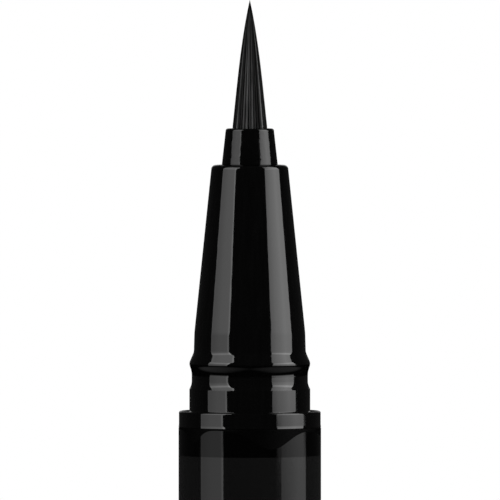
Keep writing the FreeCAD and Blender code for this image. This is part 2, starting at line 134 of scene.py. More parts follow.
class NoseSizes(bpy.types.PropertyGroup):
    """Sizes of the nose section, with heights above the tail's face."""
    spigot: length("Spigot", "Radius of the spigot in the barrel", 4.08)
    spigot_foot: length("Spigot foot", "Where the spigot starts", foot_of("nose_section"))
    bore: length("Bore", "Radius of the room for the collector", 3.33)
    flange_top: length("Flange top", "Height of the flange's upper face", 104.2)
    flange: length("Flange", "Radius of the flange above its flare", 4.975)
    flange_flare: length("Flange flare", "Height over which the flange flares out to the barrel", 0.14)
    flare_round: length("Flare round", "Rounding where the flange flares out", 0.5)
    flange_edge: length("Flange edge", "Rounding of the flange's upper edge", 0.13)
    land: length("Land", "Radius of the land that guides the cap", 4.24)
    land_foot: length("Land foot", "Rounding where the land meets the flange", 0.05)
    land_top: length("Land top", "Where the land ends", 105.74)
    land_edge: length("Land edge", "Rounding of the land's upper edge", 0.05)
    groove: length("Groove", "Radius at the bottom of the groove", 4.075)
    groove_foot: length("Groove foot", "Where the groove starts", 106.02)
    groove_top: length("Groove top", "Where the groove ends", 106.95)
    groove_round: length("Groove round", "Rounding at the foot of the groove", 1.02)
    bead: length("Bead", "Radius that the flanks of the bead meet at", 4.272)
    bead_crest: length("Bead crest", "Height of the bead's crest", 107.54)
    bead_round: length("Bead round", "Rounding of the bead's crest", 0.5)
    bead_heel: length("Bead heel", "Rounding where the bead rises from the groove", 1.5)
    bead_foot: length("Bead foot", "Rounding where the bead falls to the neck", 0.7)
    neck: length("Neck", "Radius at the foot of the neck", 3.93)
    neck_foot: length("Neck foot", "Where the neck starts", 108.33)
    cone_base: length("Cone base", "Radius at the foot of the cone", 3.89)
    cone_foot: length("Cone foot", "Where the cone starts", 109.71)
    cone_heel: length("Cone heel", "Rounding where the cone rises from the neck", 3.0)
    cone_front: length("Cone front", "Radius at the front of the cone", 2.675)
    cone_top: length("Cone top", "Where the cone ends", top_of("nose_section"))
    cone_edge: length("Cone edge", "Rounding of the cone's shoulder", 0.3)
    wall: length("Wall", "Thickness of the cone", 0.6)
    front_bore: length("Front bore", "Radius of the hole for the brush holder", 1.77)
    front_wall: length("Front wall", "Depth of that hole", 3.0)


class BrushSizes(bpy.types.PropertyGroup):
    """Sizes of the brush holder and of the tuft."""
    collar_base: length("Collar base", "Radius of the collar where it sits on the nose", 1.965)
    collar_heel: length("Collar heel", "Rounding of the collar's foot", 0.05)
    collar_front: length("Collar front", "Radius of the collar at its front", 1.68)
    collar_edge: length("Collar edge", "Rounding of the collar's front edge", 0.16)
    collar_top: length("Collar top", "Height of the collar's front face", top_of("brush_holder"))
    shank: length("Shank", "Radius of the part inside the nose", 1.75)
    shank_foot: length("Shank foot", "Where that part starts", foot_of("brush_holder"))
    bore: length("Bore", "Radius of the hole round the tuft", 1.27)
    point: length("Point", "Height of the tuft's point", top_of("brush_tuft"))
    root: length("Root", "How far inside the collar the filaments start", 0.5)
    tuft: length("Tuft", "Radius of the tuft where it leaves the collar", 1.22)
    filament: length("Filament", "Thickness of a filament where it leaves the collar", 0.14)
    clump: length("Clump", "How far clumps of filaments stand out", 0.02)
    cling: amount("Cling", "How far the wet filaments take the light as one body", 0.3)
    lower_swell: amount("Lower swell", "Fullness of the tuft low down", 0.2)
    upper_swell: amount("Upper swell", "Fullness of the tuft near its point", 0.42)
    seed: IntProperty(name="Seed", description="Another number lays the filaments another way", default=14326)


class CapSizes(bpy.types.PropertyGroup):
    """Sizes of the cap, with heights above its mouth."""
    axis: length("Axis", "How far the cap stands from the pen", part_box("cap_shell")[1].x / MM - CAP_RADIUS)
    radius: length("Radius", "Outside of the cap", CAP_RADIUS)
    height: length("Height", "Height of the cap", top_of("cap_shell"))
    edge: length("Edge", "Rounding of the closed end", 0.8)
    mouth_edge: length("Mouth edge", "Rounding of the mouth", 0.1)
    lead_in: length("Lead-in", "Chamfer inside the mouth", 0.15)
    bore: length("Bore", "Radius inside the cap", 4.3)
    roof: length("Roof", "Thickness of the closed end", 1.4)
    rib: length("Rib", "Radius inside the snap rib", 4.135)
    rib_height: length("Rib height", "Middle of the snap rib", 2.26)
    rib_width: length("Rib width", "Flat of the snap rib", 0.4)


class PenColours(bpy.types.PropertyGroup):
    """Colours of the materials."""
    gloss_black: colour("Gloss black", "Polished plastic of the nose", "#040404")
    satin_black: colour("Satin black", "Satin plastic of barrel and cap", "#131313")
    bare_black: colour("Bare black", "Turned plastic of the band at the barrel's mouth", "#020202")
    # Filament black is the filaments' own colour. Filament grey is painted sheen and highlights on them,
    # strongest where the panels light the front of the tuft, with lighter streaks round its back
    filament_black: colour("Filament black", "Filaments of the tuft where they are full of ink", "#040404")
    filament_sheen_grey: colour("Filament grey", "Filaments of the tuft where they are driest", "#808080")
    feed_white: colour("Feed white", "Natural plastic of the collector", "#C9C8C2")
    wick_white: colour("Wick white", "Bonded fibre of the feed rod", "#D6D3CA")
    liner_white: colour("Liner white", "Natural plastic of the cap's liner", "#DEDEDA")
    seal_black: colour("Seal black", "Rubber of the sealing ring", "#161616")
    ball_steel: colour("Ball steel", "Stainless steel of the mixing ball", "#B9B8B5")
    floor: colour("Floor", "Pale floor", "#9A9A9A")


class StageSettings(bpy.types.PropertyGroup):
    """Camera, lights and floor."""
    picture_middle: length("Picture middle", "Height of the middle of the picture", 115.5)
    picture_shift: length("Picture shift", "How far that middle lies to the right of the pen's axis", 0.014)
    picture_width: length("Picture width", "Width of the picture at the pen", 35.09)
    camera_distance: length("Camera distance", "From the pen to the camera", 1000)
    camera_height: angle("Camera height", "Angle of the camera above level", 1.4)
    panel_distance: length("Panel distance", "From the pen to the light panels", 500)
    panel_height: length("Panel height", "Height of the light panels", 1000)
    floor_radius: length("Floor radius", "Radius of the floor", 2000)


def add_node(tree, kind, links=None, **settings):
    """Add a node: settings name its properties or its input sockets, and links feed its inputs."""
    node = tree.nodes.new(kind)
    for key, value in settings.items():
        if key in node.inputs:
            node.inputs[key].default_value = value
        else:
            setattr(node, key, value)
    for key, source in (links or {}).items():
        tree.links.new(source, node.inputs[key])
    return node


def new_material(name):
    """A material with a shader on its output: the material, its node tree and the shader."""
    material = bpy.data.materials.new(name)
    material.use_nodes = True
    tree = material.node_tree
    tree.nodes.clear()
    shader = add_node(tree, "ShaderNodeBsdfPrincipled")
    add_node(tree, "ShaderNodeOutputMaterial", {"Surface": shader.outputs["BSDF"]})
    return material, tree, shader


def grained(name, tone, vary, grain, dull, relief, **sockets):
    """A material that varies in grains of a real size: tone is its colour and vary the share by which that
    changes, grain the size in x, y and z, dull the least and most roughness and relief the height. Lengths
    are in millimetres."""
    material, tree, shader = new_material(name)
    place = add_node(tree, "ShaderNodeTexCoord")
    scaled = add_node(tree, "ShaderNodeVectorMath", {0: place.outputs["Object"]}, operation="DIVIDE")
    scaled.inputs[1].default_value = [size * MM for size in grain]
    noise = add_node(tree, "ShaderNodeTexNoise", {"Vector": scaled.outputs["Vector"]}, Scale=1.0, Detail=3.0)
    spread = add_node(tree, "ShaderNodeMapRange", {"Value": noise.outputs["Fac"]}, **NOISE_RANGE)
    shade = add_node(tree, "ShaderNodeMix", {"Factor": spread.outputs["Result"]}, data_type="RGBA")
    shade.inputs[FIRST_COLOUR].default_value = [channel * (1 - vary) for channel in tone[:3]] + [1.0]
    shade.inputs[SECOND_COLOUR].default_value = [channel * (1 + vary) for channel in tone[:3]] + [1.0]
    gloss = add_node(tree, "ShaderNodeMapRange", {"Value": spread.outputs["Result"]},
                     **{"To Min": dull[0], "To Max": dull[1]})
    bump = add_node(tree, "ShaderNodeBump", {"Height": spread.outputs["Result"]},
                    Strength=1.0, Distance=relief * MM)
    tree.links.new(shade.outputs[MIXED_COLOUR], shader.inputs["Base Color"])
    tree.links.new(gloss.outputs["Result"], shader.inputs["Roughness"])
    tree.links.new(bump.outputs["Normal"], shader.inputs["Normal"])
    for socket, value in sockets.items():
        shader.inputs[socket].default_value = value
    return material


def dress(node, material):
    """Give a solid of the frame its material."""
    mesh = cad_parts[node].data
    mesh.materials.clear()
    mesh.materials.append(material)


def rounded(corners):
    """Points of a closed outline: each corner is a radius, a height and, where it has one, its rounding."""
    points = []
    for index, (across, up, *rounding) in enumerate(corners):
        here = Vector((across, up))
        if not rounding:
            points.append(here)
            continue
        back = (Vector(corners[index - 1][:2]) - here).normalized()
        ahead = (Vector(corners[(index + 1) % len(corners)][:2]) - here).normalized()
        half = back.angle(ahead) / 2
        reach = rounding[0] / math.tan(half)
        centre = here + (back + ahead).normalized() * rounding[0] / math.sin(half)
        start = here + back * reach - centre
        end = here + ahead * reach - centre
        first = math.atan2(start.y, start.x)
        sweep = (math.atan2(end.y, end.x) - first + math.pi) % TAU - math.pi
        steps = max(2, math.ceil(abs(sweep) / ARC_STEP))
        points.append(here + back * reach * BESIDE_ARC)
        for step in range(steps + 1):
            turn = first + sweep * step / steps
            points.append(centre + Vector((math.cos(turn), math.sin(turn))) * rounding[0])
        points.append(here + ahead * reach * BESIDE_ARC)
    return points


def turned(name, corners, axis=0.0):
    """A turned mesh: a closed outline taken once round an upright axis."""
    form = bmesh.new()
    run = [form.verts.new((point.x, 0, point.y)) for point in rounded(corners)]
    edges = [form.edges.new(pair) for pair in zip(run, run[1:] + run[:1])]
    bmesh.ops.spin(form, geom=run + edges, cent=(0, 0, 0), axis=(0, 0, 1), angle=TAU, steps=SIDES,
                   use_merge=True)
    bmesh.ops.remove_doubles(form, verts=form.verts, dist=SAME_PLACE)
    bmesh.ops.delete(form, geom=[edge for edge in form.edges if edge.is_wire], context="EDGES")
    bmesh.ops.recalc_face_normals(form, faces=form.faces)
    bmesh.ops.translate(form, verts=form.verts, vec=(axis, 0, 0))
    mesh = bpy.data.meshes.new(name)
    form.to_mesh(mesh)
    form.free()
    mesh.shade_smooth()
    mesh.set_sharp_from_angle(angle=SHARP_EDGE)
    return mesh


def add_piece(mesh, materials, body, slot, *nodes):
    """Show a mesh as a piece that rides on a body and stands for solids of the frame."""
    piece = bpy.data.objects.new(mesh.name, mesh)
    bpy.context.collection.objects.link(piece)
    for material in materials:
        mesh.materials.append(material)
    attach(piece, body)
    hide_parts(*nodes)


class EYELINER_OT_insides(bpy.types.Operator):
    """Dress the pieces inside the pen"""
    bl_idname = "eyeliner.insides"
    bl_label = "Insides"

    def execute(self, context):
        tones = context.scene.pen_colours
        # Natural ABS, moulded: off-white, half dull, with broad flow marks 2 mm wide and 0.7 mm high
        natural = grained("moulded natural ABS", tones.feed_white, vary=0.06, grain=(2, 2, 0.7),
                          dull=(0.36, 0.5), relief=0.004, IOR=1.54)
        dress("collector", natural)
        # Polyester fibre, drawn and bonded: dry and dull with lengthwise threads. The fibres are 0.02 mm
        # thick, too fine to show, so they are drawn 0.08 mm thick
        fibre = grained("bonded polyester fibre", tones.wick_white, vary=0.25, grain=(0.08, 0.08, 4),
                        dull=(0.8, 0.95), relief=0.01, IOR=1.57)
        dress("feed_rod", fibre)
        # Nitrile rubber, moulded: black and dull, with a fine bloom in grains of 0.15 mm
        rubber = grained("moulded nitrile rubber", tones.seal_black, vary=0.3, grain=(0.15, 0.15, 0.15),
                         dull=(0.5, 0.7), relief=0.003, IOR=1.52)
        dress("collector_seal", rubber)
        # Stainless steel, lapped: a bright mirror with hairlines. They are 0.01 mm wide, too fine to show, so
        # they are drawn 0.06 mm wide
        steel = grained("lapped stainless steel", tones.ball_steel, vary=0.08, grain=(0.06, 1.2, 0.06),
                        dull=(0.1, 0.2), relief=0.0004, Metallic=1.0)
        dress("mixing_ball", steel)
        return {"FINISHED"}


def satin_plastic(tones):
    """Black polypropylene from a spark-eroded mould: a fine satin that greys the black and blurs what it
    mirrors a little. The grain is about 0.04 mm wide, too fine to show, so it is drawn 0.16 mm wide."""
    return grained("spark-eroded black polypropylene", tones.satin_black, vary=0.12, grain=(0.16, 0.16, 0.16),
                   dull=(0.045, 0.07), relief=0.0003, **{"IOR": 1.49, "Specular IOR Level": 0.35})


def lobed(azimuth, level, lobes):
    """A value that changes round the pen: a level, and lobes with a middle and a width in degrees, and a
    height."""
    for middle, width, height in lobes:
        off = (math.degrees(azimuth) - middle + 180) % 360 - 180
        level += height * math.exp(-(off / width) ** 2)
    return level


# The painted dark reflection at the barrel's mouth, a dull lip, in millimetres: its least depth, and lobes
# where it is deeper
LIP_LEAST = 0.13
LIP_LOBES = ((18, 20, 1.3), (-52, 10, 0.9), (100, 30, 0.7), (190, 40, 0.9), (-120, 25, 0.5))

# The ring of points that becomes the lip's border is made this many edge roundings below the mouth
LIP_RING = 1.5

# Places of the band's and the lip's materials on the barrel, after the satin
BAND_PLACE = 1
LIP_PLACE = 2


class EYELINER_OT_barrel(bpy.types.Operator):
    """Make the barrel with the black band at its mouth, and dress the tail plug"""
    bl_idname = "eyeliner.barrel"
    bl_label = "Barrel"

    def execute(self, context):
        barrel = context.scene.pen_barrel
        tones = context.scene.pen_colours
        lip = barrel.mouth - LIP_RING * barrel.edge
        band = barrel.mouth - barrel.black_band
        mesh = turned("barrel_tube", [
            (barrel.radius, barrel.foot, barrel.edge),
            (barrel.radius, band),
            (barrel.radius, lip),
            (barrel.radius, barrel.mouth, barrel.edge),
            (barrel.bore + barrel.lead_in, barrel.mouth),
            (barrel.bore, barrel.mouth - barrel.lead_in),
            (barrel.bore, barrel.foot + barrel.lead_in),
            (barrel.bore + barrel.lead_in, barrel.foot),
        ])
        for face in mesh.polygons:
            outside = Vector(face.center[:2]).length > barrel.bore + barrel.lead_in
            if outside and face.center.z > lip:
                face.material_index = LIP_PLACE
            elif outside and face.center.z > band:
                face.material_index = BAND_PLACE
        # The lip's painted dark reflection is uneven: its border moves down, furthest a little right of the
        # front
        for vertex in mesh.vertices:
            if abs(vertex.co.z - lip) < SAME_PLACE:
                azimuth = math.atan2(vertex.co.x, -vertex.co.y)
                vertex.co.z = barrel.mouth - lobed(azimuth, LIP_LEAST, LIP_LOBES) * MM
        satin = satin_plastic(tones)
        # Black polypropylene, turned: blacker than the satin and dimmer in what it mirrors, with lines 0.3 mm
        # apart along it
        band_black = grained("turned black polypropylene", tones.bare_black, vary=0.4, grain=(0.3, 0.3, 3),
                             dull=(0.06, 0.1), relief=0.0006, **{"IOR": 1.49, "Specular IOR Level": 0.22})
        # Black polypropylene with a painted dark reflection: dead black and barely mirroring, with grains of
        # 0.1 mm
        painted_dark_reflection = grained("black polypropylene with a painted dark reflection", tones.bare_black, vary=0.6, grain=(0.1, 0.1, 0.1),
                            dull=(0.45, 0.6), relief=0.004, **{"IOR": 1.49, "Specular IOR Level": 0.035})
        add_piece(mesh, (satin, band_black, painted_dark_reflection), "pen", "satin_black", "barrel")
        dress("tail_plug", satin)
        return {"FINISHED"}


class EYELINER_OT_nose(bpy.types.Operator):
    """Make the nose section: flange, land, groove, bead, neck and cone"""
    bl_idname = "eyeliner.nose"
    bl_label = "Nose"

    def execute(self, context):
        nose = context.scene.pen_nose
        barrel = context.scene.pen_barrel
        tones = context.scene.pen_colours
        slope = (nose.cone_base - nose.cone_front) / (nose.cone_top - nose.cone_foot)
        inner_top = nose.cone_top - nose.front_wall
        mesh = turned("nose_cone", [
            (nose.bore, nose.spigot_foot),
            (nose.spigot, nose.spigot_foot, barrel.lead_in),
            (nose.spigot, barrel.mouth),
            (barrel.radius, barrel.mouth),
            (nose.flange, barrel.mouth + nose.flange_flare, nose.flare_round),
            (nose.flange, nose.flange_top, nose.flange_edge),
            (nose.land, nose.flange_top, nose.land_foot),
            (nose.land, nose.land_top, nose.land_edge),
            (nose.groove, nose.groove_foot, nose.groove_round),
            (nose.groove, nose.groove_top, nose.bead_heel),
            (nose.bead, nose.bead_crest, nose.bead_round),
            (nose.neck, nose.neck_foot, nose.bead_foot),
            (nose.cone_base, nose.cone_foot, nose.cone_heel),
            (nose.cone_front, nose.cone_top, nose.cone_edge),
            (nose.front_bore, nose.cone_top),
            (nose.front_bore, inner_top),
            (nose.cone_front + nose.front_wall * slope - nose.wall, inner_top),
            (nose.cone_base - nose.wall, nose.cone_foot),
            (nose.bore, nose.cone_foot),
        ])
        # Black ABS from a polished mould: a deep gloss with faint polishing lines along it. The lines are
        # 0.03 mm wide, too fine to show, so they are drawn 0.25 mm wide
        gloss = grained("mould-polished black ABS", tones.gloss_black, vary=0.35, grain=(0.25, 0.25, 7),
                        dull=(0.035, 0.065), relief=0.0007, IOR=1.54)
        add_piece(mesh, (gloss,), "pen", "gloss_black", "nose_section")
        return {"FINISHED"}


# Steps along a filament, and sides round it and round the core of the tuft
STRAND_STEPS = 28
STRAND_SIDES = 8
CORE_SIDES = 32

# A filament narrows to this share of its thickness, over this share of the tuft's length
TIP_THICKNESS = 0.1
TIP_LENGTH = 0.05

# Clumps of filaments: how many go round the tuft in each of three waves, and how far these drift, in radians
CLUMP_COUNTS = (5, 8, 13)
CLUMP_DRIFT = 1.2

# How far the outside of the tuft leans in for each unit of its height
TUFT_LEAN = 0.13

# The share of its shade that a filament loses at the point
POINT_FADE = 0.6

# Layers of filaments: how deep they lie and how far apart they stand, in thicknesses, and how much painted
# sheen they take. The outer ones stand apart and take it. Those below them lie close and keep the filaments'
# own black
LAYERS = ((0.0, 1.4, 1.0), (0.6, 0.9, 0.0))

# The core lies this deep in the tuft, in thicknesses of a filament
CORE_DEPTH = 1.5

# Chance in the filaments: their thickness and shade as shares, how much shorter they may be as a share of the
# tuft's length, and how far they may drift round the tuft, in degrees
THICKNESS_SHARES = (0.8, 1.25)
SHADE_SHARES = (0.6, 1.0)
MOST_SHORTENING = 0.1
MOST_DRIFT = 5

# Painted sheen comes and goes along the filaments in stretches of this size in x, y and z, in millimetres
SHEEN_STRETCH = (0.2, 0.2, 3)

# Painted sheen round the tuft: its level, and lobes where it is stronger or, with a height below zero,
# weaker. The lobes at the front are painted highlights where the panels light the tuft. Those at 72 degrees
# to each side are painted shade near its edges. Those from 105 degrees round the back are lighter streaks
PAINTED_SHEEN_LEVEL = 0.13
PAINTED_SHEEN_AND_STREAK_LOBES = (
    (49, 5.5, 1.0), (-49, 5, 0.5), (-23, 5, 0.3), (-11, 5, 0.4), (0, 5, 0.15), (10, 7, 0.3), (72, 12, -0.12),
    (-72, 14, -0.1), (105, 8, 0.4), (140, 6, 0.7), (165, 7, 0.3), (190, 5, 0.6), (215, 9, 0.3), (250, 6, 0.6),
)


def tuft_share(brush, along):
    """How wide the tuft is part of the way along, as a share of its width at the collar."""
    along = max(along, 0.0)
    return (1 - along) * (1 + brush.lower_swell * along + brush.upper_swell * along ** 2)


class Bundle:
    """Filaments that are gathered for one mesh, each with a shade of its own."""

    def __init__(self, brush, chance):
        self.brush = brush
        self.places = []
        self.faces = []
        self.shades = []
        self.normals = []
        self.clumps = []
        for count in CLUMP_COUNTS:
            start = chance.uniform(0, TAU)
            self.clumps.append((count, start, chance.uniform(-CLUMP_DRIFT, CLUMP_DRIFT)))

    def stand_out(self, turn, along):
        """How far the filaments stand out here: they cling together in clumps."""
        waves = [math.sin(count * turn + start + drift * along) for count, start, drift in self.clumps]
        return self.brush.clump * sum(waves) / len(waves)

    def add(self, heading, drift, reach, thickness, end, shade, sides=STRAND_SIDES):
        """Lay one filament, from inside the collar to its own end near the point."""
        brush = self.brush
        tall = brush.point - brush.collar_top
        start = -brush.root / tall
        first = len(self.places)
        for step in range(STRAND_STEPS + 1):
            along = start + (end - start) * step / STRAND_STEPS
            share = tuft_share(brush, along)
            fine = min(1.0, (end - along) / TIP_LENGTH + TIP_THICKNESS)
            turn = heading + drift * along
            out = (reach + self.stand_out(turn, along)) * share if reach else 0
            middle = Vector((out * math.sin(turn), -out * math.cos(turn), brush.collar_top + along * tall))
            outward = Vector((math.sin(turn), -math.cos(turn), TUFT_LEAN))
            for side in range(sides):
                round_turn = TAU * side / sides
                arm = Vector((math.cos(round_turn), math.sin(round_turn), 0)) * thickness / 2 * share * fine
                self.places.append(middle + arm)
                self.normals.append((arm.normalized() + brush.cling * outward).normalized())
                # The shade, a painted sheen, fades towards the point
                self.shades.append(shade * (1 - POINT_FADE * max(along, 0.0) ** 2))
        for step in range(STRAND_STEPS):
            low = first + step * sides
            for side in range(sides):
                after = (side + 1) % sides
                self.faces.append((low + side, low + after, low + sides + after, low + sides + side))
        self.faces.append(tuple(range(first + sides - 1, first - 1, -1)))
        last = first + STRAND_STEPS * sides
        self.faces.append(tuple(range(last, last + sides)))

    def mesh(self, name):
        """The mesh of all filaments so far."""
        mesh = bpy.data.meshes.new(name)
        mesh.from_pydata(self.places, [], self.faces)
        mesh.shade_smooth()
        # Ink fills the grooves between the filaments, so light falls on them partly as on one smooth body
        mesh.normals_split_custom_set_from_vertices(self.normals)
        shade = mesh.attributes.new("shade", "FLOAT", "POINT")
        shade.data.foreach_set("value", self.shades)
        return mesh


def filament_polyester(tones):
    """Polyester, extruded, tapered and dyed black: dark, with painted sheen and highlights in its colour.
    Each filament has its own share of them, which comes and goes along it every 3 mm or so."""
    material, tree, shader = new_material("extruded black polyester")
    place = add_node(tree, "ShaderNodeTexCoord")
    scaled = add_node(tree, "ShaderNodeVectorMath", {0: place.outputs["Object"]}, operation="DIVIDE")
    scaled.inputs[1].default_value = [size * MM for size in SHEEN_STRETCH]
    noise = add_node(tree, "ShaderNodeTexNoise", {"Vector": scaled.outputs["Vector"]}, Scale=1.0, Detail=2.0)
    spread = add_node(tree, "ShaderNodeMapRange", {"Value": noise.outputs["Fac"]},
                      **NOISE_RANGE, **{"To Min": 0.5})
    own = add_node(tree, "ShaderNodeAttribute", attribute_name="shade")
    share = add_node(tree, "ShaderNodeMath", {0: own.outputs["Fac"], 1: spread.outputs["Result"]},
                     operation="MULTIPLY")
    # The colour goes from the filaments' own black towards a painted sheen grey, by the shade
    tone = add_node(tree, "ShaderNodeMix", {"Factor": share.outputs["Value"]}, data_type="RGBA")
    tone.inputs[FIRST_COLOUR].default_value = tones.filament_black
    tone.inputs[SECOND_COLOUR].default_value = tones.filament_sheen_grey
    gloss = add_node(tree, "ShaderNodeMapRange", {"Value": share.outputs["Value"]},
                     **{"To Min": 0.2, "To Max": 0.35})
    tree.links.new(tone.outputs[MIXED_COLOUR], shader.inputs["Base Color"])
    tree.links.new(gloss.outputs["Result"], shader.inputs["Roughness"])
    shader.inputs["IOR"].default_value = 1.57
    shader.inputs["Specular IOR Level"].default_value = 0.027
    return material


class EYELINER_OT_brush(bpy.types.Operator):
    """Make the brush holder's collar and the tuft of filaments"""
    bl_idname = "eyeliner.brush"
    bl_label = "Brush"

    def execute(self, context):
        brush = context.scene.pen_brush
        nose = context.scene.pen_nose
        tones = context.scene.pen_colours
        collar = turned("brush_collar", [
            (brush.bore, brush.shank_foot),
            (brush.shank, brush.shank_foot),
            (brush.shank, nose.cone_top),
            (brush.collar_base, nose.cone_top, brush.collar_heel),
            (brush.collar_front, brush.collar_top, brush.collar_edge),
            (brush.bore, brush.collar_top),
        ])
        # Black acetal, moulded: glossy but not polished, with shallow dimples 0.35 mm wide and 0.5 mm high
        # that ruffle its edges of light
        gloss = grained("moulded black acetal", tones.gloss_black, vary=0.35, grain=(0.35, 0.35, 0.5),
                        dull=(0.06, 0.11), relief=0.004, IOR=1.48)
        add_piece(collar, (gloss,), "pen", "gloss_black", "brush_holder")

        chance = random.Random(brush.seed)
        bundle = Bundle(brush, chance)
        for depth, spacing, painted_sheen in LAYERS:
            heading = 0.0
            while heading < TAU:
                thickness = brush.filament * chance.uniform(*THICKNESS_SHARES)
                reach = brush.tuft - thickness / 2 - depth * brush.filament
                end = 1.0 - MOST_SHORTENING * chance.random() ** 2
                drift = math.radians(chance.uniform(-MOST_DRIFT, MOST_DRIFT))
                # The shade is painted sheen: strongest in the lobes round the tuft, with a random share for
                # each filament
                shade = painted_sheen * lobed(heading, PAINTED_SHEEN_LEVEL, PAINTED_SHEEN_AND_STREAK_LOBES) * chance.uniform(*SHADE_SHARES)
                bundle.add(heading, drift, reach, thickness, end, shade)
                heading += spacing * thickness / reach
        core = 2 * (brush.tuft - CORE_DEPTH * brush.filament)
        bundle.add(0.0, 0.0, 0.0, core, 1.0, 0.0, CORE_SIDES)
        strands = filament_polyester(tones)
        add_piece(bundle.mesh("tuft_filaments"), (strands,), "pen", "brush_filament", "brush_tuft")
        return {"FINISHED"}


class EYELINER_OT_cap(bpy.types.Operator):
    """Make the cap, and dress its liner"""
    bl_idname = "eyeliner.cap"
    bl_label = "Cap"

    def execute(self, context):
        cap = context.scene.pen_cap
        tones = context.scene.pen_colours
        rise = cap.bore - cap.rib
        low = cap.rib_height - cap.rib_width / 2
        high = cap.rib_height + cap.rib_width / 2
        mesh = turned("cap_cup", [
            (cap.bore + cap.lead_in, 0),
            (cap.radius, 0, cap.mouth_edge),
            (cap.radius, cap.height, cap.edge),
            (0, cap.height),
            (0, cap.height - cap.roof),
            (cap.bore, cap.height - cap.roof),
            (cap.bore, high + rise),
            (cap.rib, high),
            (cap.rib, low),
            (cap.bore, low - rise),
            (cap.bore, cap.lead_in),
        ], cap.axis)
        add_piece(mesh, (satin_plastic(tones),), "cap", "satin_black", "cap_shell")
        # Natural polyethylene, moulded: milky and waxy, with light going a little way in and clouds about
        # 1.5 mm wide
        milky = grained("moulded natural polyethylene", tones.liner_white, vary=0.05, grain=(1.5, 1.5, 1.5),
                        dull=(0.35, 0.45), relief=0.003,
                        **{"IOR": 1.51, "Subsurface Weight": 0.2, "Subsurface Scale": 1 * MM})
        dress("inner_cap", milky)
        return {"FINISHED"}


def set_camera(scene, stage):
    """Point the camera at the nose, from a little above level."""
    camera = bpy.data.objects.new("camera", bpy.data.cameras.new("camera"))
    bpy.context.collection.objects.link(camera)
    target = Vector((stage.picture_shift, 0, stage.picture_middle))
    away = Vector((0, -math.cos(stage.camera_height), math.sin(stage.camera_height)))
    camera.location = target + away * stage.camera_distance
    camera.rotation_euler = (-away).to_track_quat("-Z", "Y").to_euler()
    camera.data.lens = camera.data.sensor_width * stage.camera_distance / stage.picture_width
    # Far enough for the whole floor, in metres
    camera.data.clip_end = 100
    scene.camera = camera


# Steps across a light panel
PANEL_STEPS = 24

# The light panels. Each row of the edges gives a height as a share of the panel's own, and the azimuths of
# its inner and outer edge there. Across from the inner edge, and upward, a stop gives a share and a strength
LEFT_EDGES = (
    (0, -43.5, -86), (0.083, -43.5, -86), (0.086, -44.5, -87), (0.22, -42.2, -87.5), (0.44, -41, -90),
    (0.54, -36.7, -94), (0.84, -42, -96), (1, -45, -97),
)
LEFT_ACROSS = ((0, 2.8), (0.05, 2.6), (0.09, 1.7), (0.5, 1.57), (0.92, 1.15), (1, 1.35))
LEFT_UPWARD = (
    (0.015, 0), (0.055, 0.8), (0.082, 0.8), (0.094, 0.72), (0.18, 1), (0.24, 1.15), (0.32, 2.1), (0.38, 1.7),
    (0.45, 1.2), (1, 1),
)
RIGHT_EDGES = (
    (0, 44, 98), (0.065, 44, 98), (0.07, 52.3, 103), (0.083, 52.3, 103), (0.086, 44, 98), (0.39, 49, 97),
    (0.48, 50, 106), (1, 60, 112),
)
RIGHT_ACROSS = ((0, 1.75), (0.08, 1.95), (0.25, 2.4), (0.5, 2.8), (0.66, 3.05), (0.76, 2.8), (1, 2.4))
RIGHT_UPWARD = (
    (0.015, 0), (0.055, 0.8), (0.065, 0.8), (0.07, 0.47), (0.0838, 0.47), (0.0844, 0.9), (0.0857, 0.68),
    (0.094, 0.9), (0.18, 1), (0.22, 1.1), (0.28, 1.8), (0.33, 1.5), (0.39, 1), (1, 0.9),
)


def polar(azimuth, distance, height):
    """A point round the pen: azimuth 0 is towards the camera, positive to the right of the picture."""
    turn = math.radians(azimuth)
    return Vector((math.sin(turn) * distance, -math.cos(turn) * distance, height))


